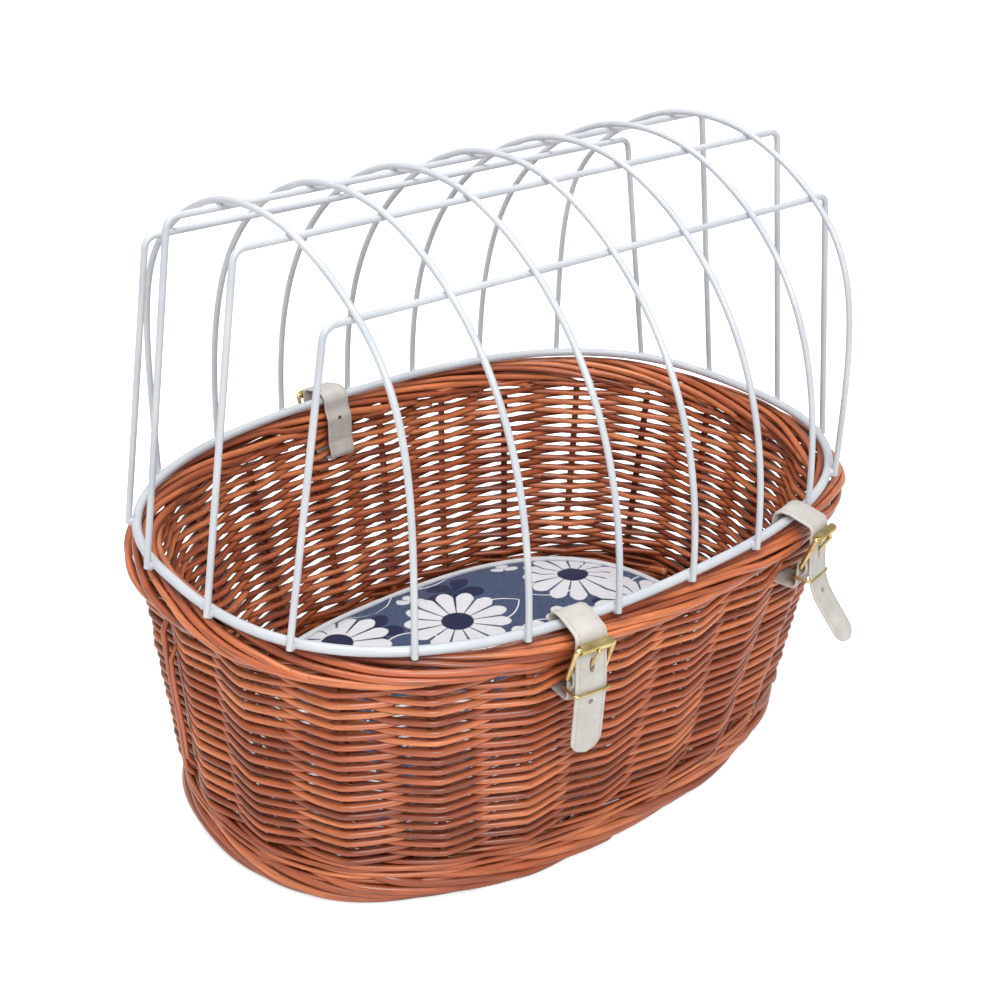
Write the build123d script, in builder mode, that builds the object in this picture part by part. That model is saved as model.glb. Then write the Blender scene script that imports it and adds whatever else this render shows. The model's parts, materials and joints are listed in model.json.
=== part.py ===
"""Oval willow pet basket with a welded wire cover, three buckled straps and a cushion.

Millimetres. +Z is up, X runs along the basket and the front side faces -Y.
The origin is on the floor, at the centre of the basket's foot.
"""

import os
from math import asin, atan2, copysign, cos, degrees, hypot, radians, sin

from build123d import *

# ---- basket ----------------------------------------------------------------
OVAL_POWER = 2.56  # 2 is an ellipse, higher is squarer
OUTLINE_POINTS = 36
WALL_FOOT_HALF = (231.0, 154.0)  # outside of the wall where it meets the foot
WALL_TOP_HALF = (240.0, 178.0)  # outside of the wall under the top border
WALL_THICKNESS = 13.4
FOOT_HEIGHT = 14.0
FOOT_BORDER_WIDTH = 25.0
FOOT_EDGE_RADIUS = 5.0
FOOT_SHOULDER_RADIUS = 2.0
WALE_TOP = 32.0
WALE_PROUD = 1.6  # how far the wale stands outside the wall
BORDER_HALF = (251.0, 184.0)  # outside of the top border
BORDER_BOTTOM = 171.0
BORDER_TOP = 194.5
BORDER_WIDTH = 20.0
BORDER_EDGE_RADIUS = 10.0
BORDER_UNDER_RADIUS = 6.0
BORDER_INNER_RADIUS = 8.0
STAKE_RADIUS = 2.5
STAKE_COUNT = 23
FIRST_STAKE_X = 8.0  # where the first stake stands, on the front side

# ---- base ------------------------------------------------------------------
BASE_BOTTOM = 5.0
BASE_THICKNESS = 9.0
CROSS_STICK_RADIUS = 3.5
CROSS_STICK_COUNT = 9
CROSS_STICK_PITCH = 44.0
LONG_STICK_RADIUS = 2.0
LONG_STICK_COUNT = 3
LONG_STICK_PITCH = 9.0
STICK_END_GAP = 1.0

# ---- wire cover ------------------------------------------------------------
RING_HALF = (240.0, 172.0)
RING_HEIGHT = 200.0  # floor to the ring's centreline
RING_RADIUS = 3.0
WIRE_RADIUS = 2.0
WELD_GAP = 0.15
WIRE_FOOT_DROP = 1.5  # how far an upright reaches below the ring's centreline
HOOP_COUNT = 7
HOOP_PITCH = 59.4
LOW_RAIL = (91.7, 177.3)  # half-distance between the pair, height above the ring
LOW_RAIL_BEND_X = 196.0
LOW_RAIL_SLOPE = 53.0  # direction from the rail to the hoops over it, in degrees
HIGH_RAIL = (34.5, 205.5)
HIGH_RAIL_BEND_X = 211.0
HIGH_RAIL_SLOPE = 76.0
RAIL_BEND_RADIUS = 8.0

# ---- straps: distances outward from the ring's centreline, and heights -----
STRAPS = {"front_left": (-88.0, -1), "front_right": (105.0, -1), "rear": (-19.0, 1)}
STRAP_WIDTH = 20.0
LEATHER = 2.2
LOOP_RADIUS = 7.2  # ring to the middle of the leather, loose enough for it to turn
LOOP_BEND = 7.0
INNER_FACE = -10.8  # where the leather runs up the inside of the border
OUTER_FACE = 20.2  # where it passes behind the roller, outside the border
JOIN_HEIGHT = 170.0  # where the fixed and the free length of a strap meet
JOIN_GAP = 0.5
SLOT_HEIGHT = 157.0  # where a strap goes through the wall
SLOT_CLEARANCE = 1.4
SLOT_REACH = (-16.0, 8.0)  # how far the slot is cut, across the wall
SLOT_EXIT = 3.6  # how far inside the inner face the leather leaves the slot
HEEL_BEND = 4.0
HEEL_END = (0.1, 7.2)  # folded end: gap to the leather behind it, drop below the bar
HEEL_END_BEND_DROP = 3.0
LOOP_START_DROP = 12.0  # below the ring's centreline, inside the border
LOOP_SIDE_DROP = 5.0
LOOP_TOP_END = 3.4
OUTER_BENDS = (203.0, 193.5)  # heights where the leather turns down behind the roller
INNER_BEND = 8.0
ROLLER_BEND = 5.0
OUTER_BEND = 15.0
TAIL_OUT = 22.0
TAIL_END_HEIGHT = 122.5
TAIL_TIP_RADIUS = 9.5
HOLE_RADIUS = 1.7
TAIL_HOLES = (143.0, 159.0)
INNER_HOLE = 188.0
PRONG_HOLE_LENGTH = 9.4
PRONG_HOLE_SINK = 0.5  # the hole is centred where the prong is this deep in the leather

# ---- buckles ---------------------------------------------------------------
HEEL_BAR = (16.6, 174.0)
ROLLER_BAR = (24.6, 197.0)
BUCKLE_WIRE_RADIUS = 1.5
BUCKLE_HALF_WIDTH = 12.5
BUCKLE_CORNER_RADIUS = 2.0
TURNING_CLEARANCE = 0.08
ROLLER_RADIUS = 3.0
ROLLER_LENGTH = 20.6
PRONG_RADIUS = 1.1
PRONG_HUB_RADIUS = 3.8
PRONG_HUB_WIDTH = 2.4
PRONG_OVERHANG = 1.5
PRONG_ROOT = 2.6  # where the arm starts, inside its hub
PRONG_TIP_RADIUS = 0.88
PRONG_SLOT = (8.6, 4.4)  # opening in the fold for the prong's hub: side, width
PRONG_SLOT_RISE = 0.2
FOLD_RADIUS = 2.84  # heel bar to the middle of the leather folded round it
FOLD_BEND = 2.6
KEEPER_HEIGHT = 166.0
KEEPER_INNER = 11.4
KEEPER_OUTER = 24.4
KEEPER_HALF_WIDTH = 11.5
KEEPER_WIRE_RADIUS = 0.9

# ---- cushion ---------------------------------------------------------------
CUSHION_HALF = (190.0, 138.0)
CUSHION_BOTTOM = 15.0
CUSHION_TOP = 40.0
CUSHION_EDGE_RADIUS = 9.0
COVER_FABRIC = 1.2
PIPING_RADIUS = 2.2
PIPING_GAP = 0.1

PARTS_FOLDER = "parts"


def oval_y(half, x):
    """Half-width of an oval at a distance x from its centre."""
    return half[1] * (1 - (abs(x) / half[0]) ** OVAL_POWER) ** (1 / OVAL_POWER)


def oval_x(half, y):
    """Half-length of an oval at a distance y from its centre line."""
    return oval_y(half[::-1], y)


def oval_normal(half, x, side):
    """Level outward direction at the oval's point over x, on side -1 (front) or 1."""
    power = OVAL_POWER - 1
    along = copysign((abs(x) / half[0]) ** power, x) / half[0]
    across = side * (oval_y(half, x) / half[1]) ** power / half[1]
    return Vector(along, across, 0).normalized()


def oval_line(half, height=0.0, start=0.0):
    """Closed smooth line around an oval, from the point seen at a start angle."""
    points = []
    for i in range(OUTLINE_POINTS):
        angle = radians(start + 360 * i / OUTLINE_POINTS)
        part_x = (abs(cos(angle)) / half[0]) ** OVAL_POWER
        part_y = (abs(sin(angle)) / half[1]) ** OVAL_POWER
        reach = (part_x + part_y) ** (-1 / OVAL_POWER)
        points.append((reach * cos(angle), reach * sin(angle), height))
    return Spline(*points, periodic=True)


def inset(half, distance):
    """Half-sizes of the oval that lies a distance inside another."""
    return (half[0] - distance, half[1] - distance)


def wall_half(height, outward=0.0):
    """Half-sizes of the wall's outside at a height, moved outward if asked."""
    part_way = (height - FOOT_HEIGHT) / (BORDER_BOTTOM - FOOT_HEIGHT)
    return tuple(
        foot + (top - foot) * part_way + outward
        for foot, top in zip(WALL_FOOT_HALF, WALL_TOP_HALF)
    )


def save(builder, name):
    """Labels a finished piece and writes it as one STEP file."""
    builder.part.label = name
    export_step(builder.part, f"{PARTS_FOLDER}/{name}.step")


# ---- willow ----------------------------------------------------------------
def oval_block(half, bottom, top, top_radius, bottom_radius):
    """Upright oval block with its top and bottom edges rounded."""
    with BuildPart() as block:
        with BuildSketch(Plane.XY.offset(bottom)):
            with BuildLine():
                oval_line(half)
            make_face()
        extrude(amount=top - bottom)
        fillet(block.faces().sort_by(Axis.Z)[-1].edges(), top_radius)
        fillet(block.faces().sort_by(Axis.Z)[0].edges(), bottom_radius)
    return block


def oval_ring(half, width, bottom, top, top_radius, bottom_radius, inner_radius):
    """Oval ring with a flat underside, rounded at its other edges."""
    outer = oval_block(half, bottom, top, top_radius, bottom_radius)
    with BuildPart() as ring:
        add(outer.part)
        with BuildSketch(Plane.XY.offset(bottom)):
            with BuildLine():
                oval_line(inset(half, width))
            make_face()
        extrude(amount=top - bottom, mode=Mode.SUBTRACT)
        top_edges = ring.faces().sort_by(Axis.Z)[-1].edges()
        fillet(top_edges.sort_by(SortBy.LENGTH)[0], inner_radius)
    return ring


def wall_band(bottom, top, outward=0.0):
    """Closed band of the woven wall between two heights."""
    with BuildPart() as band:
        for offset, mode in ((outward, Mode.ADD), (-WALL_THICKNESS, Mode.SUBTRACT)):
            for height in (bottom, top):
                with BuildSketch(Plane.XY.offset(height)):
                    with BuildLine():
                        oval_line(wall_half(height, offset))
                    make_face()
            loft(ruled=True, mode=mode)
    return band


def stake_points(height):
    """Points evenly spaced around the middle of the wall, one for each stake."""
    half = wall_half(height, -WALL_THICKNESS / 2)
    start = degrees(atan2(-oval_y(half, FIRST_STAKE_X), FIRST_STAKE_X))
    with BuildLine() as middle:
        oval_line(half, height, start)
    edge = middle.edge()
    step = edge.length / STAKE_COUNT
    return [edge.position_at(i * step, PositionMode.LENGTH) for i in range(STAKE_COUNT)]


def make_stakes():
    """Upright willow stakes, from the foot border to the top border."""
    with BuildPart() as stakes:
        for foot, top in zip(stake_points(FOOT_HEIGHT), stake_points(BORDER_BOTTOM)):
            for point in (foot, top):
                with BuildSketch(Plane(point)):
                    Circle(STAKE_RADIUS)
            loft(ruled=True)
    return stakes


def make_long_sticks():
    """Thin sticks that run the length of the base."""
    half = inset(WALL_FOOT_HALF, FOOT_BORDER_WIDTH + STICK_END_GAP)
    reach = oval_x(half, LONG_STICK_PITCH * (LONG_STICK_COUNT - 1) / 2)
    with BuildPart() as sticks:
        with Locations((0, 0, BASE_BOTTOM + BASE_THICKNESS / 2)):
            with GridLocations(0, LONG_STICK_PITCH, 1, LONG_STICK_COUNT):
                Cylinder(LONG_STICK_RADIUS, 2 * reach, rotation=(0, 90, 0))
    return sticks


def make_cross_sticks(long_sticks):
    """Thick sticks across the base, pierced by the long ones."""
    half = inset(WALL_FOOT_HALF, FOOT_BORDER_WIDTH + STICK_END_GAP)
    with BuildPart() as sticks:
        for i in range(CROSS_STICK_COUNT):
            x = (i - (CROSS_STICK_COUNT - 1) / 2) * CROSS_STICK_PITCH
            reach = oval_y(half, abs(x) + CROSS_STICK_RADIUS)
            with Locations((x, 0, BASE_BOTTOM + BASE_THICKNESS / 2)):
                Cylinder(CROSS_STICK_RADIUS, 2 * reach, rotation=(90, 0, 0))
        add(long_sticks.part, mode=Mode.SUBTRACT)
    return sticks


def make_base_weave(long_sticks, cross_sticks):
    """Woven floor of the basket, packed around its sticks."""
    with BuildPart() as weave:
        with BuildSketch(Plane.XY.offset(BASE_BOTTOM)):
            with BuildLine():
                oval_line(inset(WALL_FOOT_HALF, FOOT_BORDER_WIDTH))
            make_face()
        extrude(amount=BASE_THICKNESS)
        add(cross_sticks.part, mode=Mode.SUBTRACT)
        add(long_sticks.part, mode=Mode.SUBTRACT)
    return weave


# ---- wire cover ------------------------------------------------------------
def wire_foot(contact, normal):
    """Where an upright stands against the outside of the ring."""
    return contact + normal * (RING_RADIUS + WIRE_RADIUS + WELD_GAP)


def make_ring():
    """Thick wire ring that carries the cover, closed by a butt weld at one end."""
    with BuildPart() as ring:
        with BuildLine():
            line = oval_line(RING_HALF, RING_HEIGHT, start=180)
        with BuildSketch(Plane(line @ 0, z_dir=line % 0)):
            Circle(RING_RADIUS)
        sweep()
    return ring


def over_rail(rail, slope):
    """Place and direction of a hoop, in Y and Z, where it lies on a rear rail."""
    reach = 2 * WIRE_RADIUS + WELD_GAP
    lean = radians(slope)
    y = rail[0] + reach * cos(lean)
    z = RING_HEIGHT + rail[1] + reach * sin(lean)
    return (y, z), (sin(lean), -cos(lean))


def make_hoop(x):
    """Arched wire from the front of the ring, over the four rails, to its rear."""
    normal = oval_normal(RING_HALF, x, 1)
    contact_x = x - normal.X * (RING_RADIUS + WIRE_RADIUS)
    foot_y = wire_foot(Vector(contact_x, oval_y(RING_HALF, contact_x)), normal).Y
    foot = (foot_y, RING_HEIGHT - WIRE_FOOT_DROP)
    half = [
        over_rail(HIGH_RAIL, HIGH_RAIL_SLOPE),
        over_rail(LOW_RAIL, LOW_RAIL_SLOPE),
        (foot, (0, -1)),
    ]
    front = [(Vector(x, -y, z), Vector(0, go_y, -go_z)) for (y, z), (go_y, go_z) in half]
    rear = [(Vector(x, y, z), Vector(0, go_y, go_z)) for (y, z), (go_y, go_z) in half]
    points, ways = zip(*reversed(front), *rear)
    with BuildPart() as hoop:
        with BuildLine():
            line = Spline(*points, tangents=ways)
        with BuildSketch(Plane(line @ 0, z_dir=line % 0)):
            Circle(WIRE_RADIUS)
        sweep()
    return hoop


def make_rail(rail, bend_x, side):
    """Straight wire under the hoops, turned down at both ends to meet the ring."""
    y, rise = rail
    normal = oval_normal(RING_HALF, oval_x(RING_HALF, y), 1)
    contact_y = y - normal.Y * (RING_RADIUS + WIRE_RADIUS)
    foot_x = wire_foot(Vector(oval_x(RING_HALF, contact_y), contact_y), normal).X
    splay = (foot_x - bend_x) / rise
    foot = (foot_x + splay * WIRE_FOOT_DROP, RING_HEIGHT - WIRE_FOOT_DROP)
    bend = (bend_x, RING_HEIGHT + rise)
    with BuildPart() as wire:
        with BuildLine(Plane.XZ.offset(-side * y)):
            line = FilletPolyline(
                (-foot[0], foot[1]), (-bend[0], bend[1]), bend, foot,
                radius=RAIL_BEND_RADIUS,
            )
        with BuildSketch(Plane(line @ 0, z_dir=line % 0)):
            Circle(WIRE_RADIUS)
        sweep()
    return wire


# ---- straps and buckles ----------------------------------------------------
def strap_plane(x, side):
    """Upright plane through the ring, its X pointing outward and its Y up."""
    normal = oval_normal(RING_HALF, x, side)
    origin = (x, side * oval_y(RING_HALF, x), 0)
    return Plane(origin, x_dir=normal, z_dir=normal.cross(Vector(0, 0, 1)))


def across(plane, point, half_width=0.0):
    """Plane square to the strap's width at a point, moved back by half the width."""
    origin = plane.from_local_coords((point[0], point[1], -half_width))
    return Plane(origin, x_dir=plane.x_dir, z_dir=plane.z_dir)


def prong_direction():
    """Way the prong points from the heel bar so that it rests on the roller."""
    out = ROLLER_BAR[0] - HEEL_BAR[0]
    up = ROLLER_BAR[1] - HEEL_BAR[1]
    reach = ROLLER_RADIUS + PRONG_RADIUS + TURNING_CLEARANCE
    from_vertical = atan2(out, up) + asin(reach / hypot(out, up))
    return Vector(sin(from_vertical), cos(from_vertical))


def make_strap_heel(plane):
    """Fixed leather: folded round the heel bar, through the wall and up inside."""
    bar_out, bar_up = HEEL_BAR
    back = bar_out - FOLD_RADIUS
    front = bar_out + FOLD_RADIUS
    fold_top = bar_up + FOLD_RADIUS
    path = [
        (back + LEATHER + HEEL_END[0], bar_up - HEEL_END[1]),
        (front, bar_up - HEEL_END_BEND_DROP),
        (front, fold_top),
        (back, fold_top),
        (back, SLOT_HEIGHT),
        (INNER_FACE - SLOT_EXIT, SLOT_HEIGHT),
        (INNER_FACE, JOIN_HEIGHT),
    ]
    bends = [HEEL_BEND, FOLD_BEND, FOLD_BEND, HEEL_BEND, HEEL_BEND]
    with BuildPart() as heel:
        with BuildSketch(plane):
            with BuildLine():
                FilletPolyline(*path, radius=bends)
            trace(line_width=LEATHER)
        extrude(amount=STRAP_WIDTH / 2, both=True)
        with BuildSketch(plane):
            with Locations((bar_out, bar_up + PRONG_SLOT_RISE)):
                Rectangle(PRONG_SLOT[0], PRONG_SLOT[0])
        extrude(amount=PRONG_SLOT[1] / 2, both=True, mode=Mode.SUBTRACT)
    return heel


def make_strap_tail(plane):
    """Free leather: up the inside, over the ring, behind the roller and down."""
    path = [
        (INNER_FACE, JOIN_HEIGHT + JOIN_GAP),
        (INNER_FACE, RING_HEIGHT - LOOP_START_DROP),
        (-LOOP_RADIUS, RING_HEIGHT - LOOP_SIDE_DROP),
        (-LOOP_RADIUS, RING_HEIGHT + LOOP_RADIUS),
        (LOOP_TOP_END, RING_HEIGHT + LOOP_RADIUS),
        (OUTER_FACE, OUTER_BENDS[0]),
        (OUTER_FACE, OUTER_BENDS[1]),
        (TAIL_OUT, HEEL_BAR[1]),
        (TAIL_OUT, TAIL_END_HEIGHT),
    ]
    bends = [
        INNER_BEND, INNER_BEND, LOOP_BEND, LOOP_BEND, ROLLER_BEND, OUTER_BEND, OUTER_BEND,
    ]
    outward = Axis((0, 0, 0), plane.x_dir)
    prong = prong_direction()
    hole_out = TAIL_OUT - PRONG_HOLE_SINK - HEEL_BAR[0]
    prong_hole = HEEL_BAR[1] + hole_out * prong.Y / prong.X
    with BuildPart() as tail:
        with BuildSketch(plane):
            with BuildLine():
                FilletPolyline(*path, radius=bends)
            trace(line_width=LEATHER)
        extrude(amount=STRAP_WIDTH / 2, both=True)
        tip = tail.edges().filter_by(outward).group_by(Axis.Z)[0]
        fillet(tip, TAIL_TIP_RADIUS)
        punched = Plane(plane.origin, x_dir=(0, 0, 1), z_dir=plane.x_dir)
        with BuildSketch(punched.offset(TAIL_OUT - LEATHER)):
            with Locations(*[(height, 0) for height in TAIL_HOLES]):
                Circle(HOLE_RADIUS)
            with Locations((prong_hole, 0)):
                SlotOverall(PRONG_HOLE_LENGTH, 2 * HOLE_RADIUS)
        extrude(amount=2 * LEATHER, mode=Mode.SUBTRACT)
        with BuildSketch(punched.offset(INNER_FACE - LEATHER)):
            with Locations((INNER_HOLE, 0)):
                Circle(HOLE_RADIUS)
        extrude(amount=2 * LEATHER, mode=Mode.SUBTRACT)
    return tail


def wire_loop(corner, opposite):
    """Closed rectangle with rounded corners, for use inside a BuildLine block."""
    x, y = corner
    far_x, far_y = opposite
    corners = [(x, y), (far_x, y), (far_x, far_y), (x, far_y)]
    return FilletPolyline(*corners, radius=BUCKLE_CORNER_RADIUS, close=True)


def make_buckle_frame(plane):
    """Rectangular wire frame between the heel bar and the roller bar."""
    heel = plane.from_local_coords((*HEEL_BAR, 0))
    roller = plane.from_local_coords((*ROLLER_BAR, 0))
    up_frame = (roller - heel).normalized()
    flat = Plane(heel, x_dir=plane.z_dir, z_dir=plane.z_dir.cross(up_frame))
    length = (roller - heel).length
    with BuildPart() as frame:
        with BuildLine(flat):
            line = wire_loop((BUCKLE_HALF_WIDTH, 0), (-BUCKLE_HALF_WIDTH, length))
        with BuildSketch(Plane(line @ 0, z_dir=line % 0)):
            Circle(BUCKLE_WIRE_RADIUS)
        sweep()
    return frame


def make_roller(plane):
    """Sheet-metal sleeve that turns on the roller bar."""
    with BuildPart() as roller:
        with BuildSketch(across(plane, ROLLER_BAR, ROLLER_LENGTH / 2)):
            Circle(ROLLER_RADIUS)
            Circle(BUCKLE_WIRE_RADIUS + TURNING_CLEARANCE, mode=Mode.SUBTRACT)
        extrude(amount=ROLLER_LENGTH)
    return roller


def make_prong(plane):
    """Buckle pin: an eye on the heel bar and a straight arm resting on the roller."""
    out = ROLLER_BAR[0] - HEEL_BAR[0]
    up = ROLLER_BAR[1] - HEEL_BAR[1]
    arm = prong_direction()
    way = plane.x_dir * arm.X + plane.y_dir * arm.Y
    root = plane.from_local_coords((*HEEL_BAR, 0)) + way * PRONG_ROOT
    with BuildPart() as prong:
        with BuildSketch(across(plane, HEEL_BAR, PRONG_HUB_WIDTH / 2)):
            Circle(PRONG_HUB_RADIUS)
        extrude(amount=PRONG_HUB_WIDTH)
        with BuildSketch(Plane(root, z_dir=way)):
            Circle(PRONG_RADIUS)
        extrude(amount=hypot(out, up) + PRONG_OVERHANG - PRONG_ROOT)
        fillet(prong.faces().sort_by(Axis.Z)[-1].edges(), PRONG_TIP_RADIUS)
        with BuildSketch(across(plane, HEEL_BAR, PRONG_HUB_WIDTH / 2)):
            Circle(BUCKLE_WIRE_RADIUS + TURNING_CLEARANCE)
        extrude(amount=PRONG_HUB_WIDTH, mode=Mode.SUBTRACT)
    return prong


def make_keeper(plane):
    """Wire loop that holds the hanging end of the strap against its fixed part."""
    middle = (KEEPER_INNER + KEEPER_OUTER) / 2
    centre = plane.from_local_coords((middle, KEEPER_HEIGHT, 0))
    level = Plane(centre, x_dir=plane.x_dir, z_dir=(0, 0, 1))
    half_depth = (KEEPER_OUTER - KEEPER_INNER) / 2
    with BuildPart() as keeper:
        with BuildLine(level):
            line = wire_loop(
                (half_depth, KEEPER_HALF_WIDTH), (-half_depth, -KEEPER_HALF_WIDTH)
            )
        with BuildSketch(Plane(line @ 0, z_dir=line % 0)):
            Circle(KEEPER_WIRE_RADIUS)
        sweep()
    return keeper


def make_side_weave(stakes):
    """Woven wall around its stakes, with a slot for each strap."""
    band = wall_band(WALE_TOP, BORDER_BOTTOM)
    slot_length = SLOT_REACH[1] - SLOT_REACH[0]
    slot_middle = (SLOT_REACH[0] + SLOT_REACH[1]) / 2
    with BuildPart() as weave:
        add(band.part)
        add(stakes.part, mode=Mode.SUBTRACT)
        for x, side in STRAPS.values():
            with BuildSketch(strap_plane(x, side)):
                with Locations((slot_middle, SLOT_HEIGHT)):
                    Rectangle(slot_length, LEATHER + 2 * SLOT_CLEARANCE)
            extrude(amount=STRAP_WIDTH / 2 + SLOT_CLEARANCE, both=True, mode=Mode.SUBTRACT)
    return weave


# ---- cushion ---------------------------------------------------------------
def make_foam():
    """Foam pad inside the cushion cover."""
    return oval_block(
        inset(CUSHION_HALF, COVER_FABRIC),
        CUSHION_BOTTOM + COVER_FABRIC,
        CUSHION_TOP - COVER_FABRIC,
        CUSHION_EDGE_RADIUS - COVER_FABRIC,
        CUSHION_EDGE_RADIUS - COVER_FABRIC,
    )


def make_cushion_cover(foam):
    """Fabric cover, closed around the foam."""
    edge = CUSHION_EDGE_RADIUS
    outside = oval_block(CUSHION_HALF, CUSHION_BOTTOM, CUSHION_TOP, edge, edge)
    with BuildPart() as cover:
        add(outside.part)
        add(foam.part, mode=Mode.SUBTRACT)
    return cover


def make_piping():
    """Piped cord around the cushion's top edge."""
    reach = (CUSHION_EDGE_RADIUS + PIPING_RADIUS + PIPING_GAP) * sin(radians(45))
    half = inset(CUSHION_HALF, CUSHION_EDGE_RADIUS - reach)
    with BuildPart() as piping:
        with BuildLine():
            line = oval_line(half, CUSHION_TOP - CUSHION_EDGE_RADIUS + reach)
        with BuildSketch(Plane(line @ 0, z_dir=line % 0)):
            Circle(PIPING_RADIUS)
        sweep()
    return piping


# ---- the whole basket ------------------------------------------------------
os.makedirs(PARTS_FOLDER, exist_ok=True)

base_long_sticks = make_long_sticks()
base_cross_sticks = make_cross_sticks(base_long_sticks)
side_stakes = make_stakes()
save(base_long_sticks, "base_long_sticks")
save(base_cross_sticks, "base_cross_sticks")
save(make_base_weave(base_long_sticks, base_cross_sticks), "base_weave")
save(side_stakes, "side_stakes")
save(make_side_weave(side_stakes), "side_weave")

with BuildPart() as bottom_wale:
    add(wall_band(FOOT_HEIGHT, WALE_TOP, WALE_PROUD).part)
    add(side_stakes.part, mode=Mode.SUBTRACT)
save(bottom_wale, "bottom_wale")

foot_border = oval_ring(
    WALL_FOOT_HALF, FOOT_BORDER_WIDTH, 0, FOOT_HEIGHT,
    FOOT_SHOULDER_RADIUS, FOOT_EDGE_RADIUS, FOOT_SHOULDER_RADIUS,
)
save(foot_border, "foot_border")

top_border = oval_ring(
    BORDER_HALF, BORDER_WIDTH, BORDER_BOTTOM, BORDER_TOP,
    BORDER_EDGE_RADIUS, BORDER_UNDER_RADIUS, BORDER_INNER_RADIUS,
)
save(top_border, "top_border")

save(make_ring(), "cover_ring")
for number in range(HOOP_COUNT):
    hoop_x = (number - (HOOP_COUNT - 1) / 2) * HOOP_PITCH
    save(make_hoop(hoop_x), f"cover_hoop_{number + 1}")
save(make_rail(LOW_RAIL, LOW_RAIL_BEND_X, -1), "cover_rail_front")
save(make_rail(HIGH_RAIL, HIGH_RAIL_BEND_X, -1), "cover_rail_front_top")
save(make_rail(HIGH_RAIL, HIGH_RAIL_BEND_X, 1), "cover_rail_rear_top")
save(make_rail(LOW_RAIL, LOW_RAIL_BEND_X, 1), "cover_rail_rear")

for strap, (strap_x, strap_side) in STRAPS.items():
    upright = strap_plane(strap_x, strap_side)
    save(make_strap_heel(upright), f"{strap}_strap_heel")
    save(make_strap_tail(upright), f"{strap}_strap_tail")
    save(make_buckle_frame(upright), f"{strap}_buckle_frame")
    save(make_roller(upright), f"{strap}_buckle_roller")
    save(make_prong(upright), f"{strap}_buckle_prong")
    save(make_keeper(upright), f"{strap}_keeper")

cushion_foam = make_foam()
save(cushion_foam, "cushion_foam")
save(make_cushion_cover(cushion_foam), "cushion_cover")
save(make_piping(), "cushion_piping")
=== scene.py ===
"""Looks of the willow pet basket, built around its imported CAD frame.

Metres, in the frame's own axes: +Z is up, the front side faces -Y. Lengths written
with MM are millimetres.
"""

import json
from math import atan2, cos, pi, radians, sin

import bmesh
import bpy
import numpy as np
from mathutils import Matrix, Vector


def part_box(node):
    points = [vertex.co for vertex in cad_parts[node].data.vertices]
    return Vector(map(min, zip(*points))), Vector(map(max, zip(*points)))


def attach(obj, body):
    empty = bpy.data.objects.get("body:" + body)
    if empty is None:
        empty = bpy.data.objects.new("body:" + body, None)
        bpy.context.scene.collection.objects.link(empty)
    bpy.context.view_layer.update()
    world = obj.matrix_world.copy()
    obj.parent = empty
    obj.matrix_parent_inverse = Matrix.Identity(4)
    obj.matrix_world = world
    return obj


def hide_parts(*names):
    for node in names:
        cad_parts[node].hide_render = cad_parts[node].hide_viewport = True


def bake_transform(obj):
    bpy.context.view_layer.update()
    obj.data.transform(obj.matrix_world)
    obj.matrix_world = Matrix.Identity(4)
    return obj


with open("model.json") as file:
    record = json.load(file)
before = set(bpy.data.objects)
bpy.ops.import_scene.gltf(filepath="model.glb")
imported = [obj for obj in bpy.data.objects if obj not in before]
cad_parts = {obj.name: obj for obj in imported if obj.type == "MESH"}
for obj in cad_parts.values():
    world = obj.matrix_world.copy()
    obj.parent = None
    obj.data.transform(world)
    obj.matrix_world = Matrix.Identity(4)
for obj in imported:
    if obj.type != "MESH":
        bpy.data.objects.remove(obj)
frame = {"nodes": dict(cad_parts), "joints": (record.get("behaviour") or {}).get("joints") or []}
scene = bpy.context.scene
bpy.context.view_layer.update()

MM = 0.001
SEED = 7
UP = np.array([0.0, 0.0, 1.0])

# ---- the basket's ovals, from the frame
# An oval's power is 2 for an ellipse and more for a squarer shape.
OVAL_POWER = 2.56
FOOT_POWER = 2.3
STAKES = 23
FIRST_STAKE_X = 8 * MM
WALL_HALF_THICKNESS = 6.7 * MM
_, FOOT_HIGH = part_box("foot_border")
WALL_LOW, WALL_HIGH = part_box("side_weave")
FOOT_HALF = np.array(FOOT_HIGH[:2]) - WALL_HALF_THICKNESS
TOP_HALF = np.array(WALL_HIGH[:2]) - WALL_HALF_THICKNESS
FOOT_TOP = FOOT_HIGH.z
WALL_BOTTOM = WALL_LOW.z
WALL_TOP = WALL_HIGH.z
OVAL_STEPS = 2880

# ---- willow
SIDES = 8
STAKE_RADIUS = 2.8 * MM
WEAVER_TIP = 1.95 * MM
SWING_SLACK = 1.1 * MM
TIP_LENGTH = 1 / 3
TIP_WIDTH = 0.8
GRAIN_SHIFT = 50
OFF_UPRIGHT = np.array([0.3, 0.2, 0.1])


def unit(vectors):
    """Vectors scaled to length one."""
    return vectors / np.linalg.norm(vectors, axis=-1, keepdims=True)


def distances(points):
    """Distance gone along a line at each of its points."""
    return np.concatenate([[0], np.cumsum(np.linalg.norm(np.diff(points, axis=0), axis=1))])


def oval_point(half, angle, power=OVAL_POWER):
    """Points of the oval seen from its centre at these angles."""
    part_x = (np.abs(np.cos(angle)) / half[..., 0]) ** power
    part_y = (np.abs(np.sin(angle)) / half[..., 1]) ** power
    reach = (part_x + part_y) ** (-1 / power)
    return np.stack([reach * np.cos(angle), reach * np.sin(angle)], axis=-1)


def oval_normal(half, points):
    """Level outward directions of an oval at its points."""
    slope = (np.abs(points) / half) ** (OVAL_POWER - 1) / half
    return unit(np.sign(points) * slope)


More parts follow.
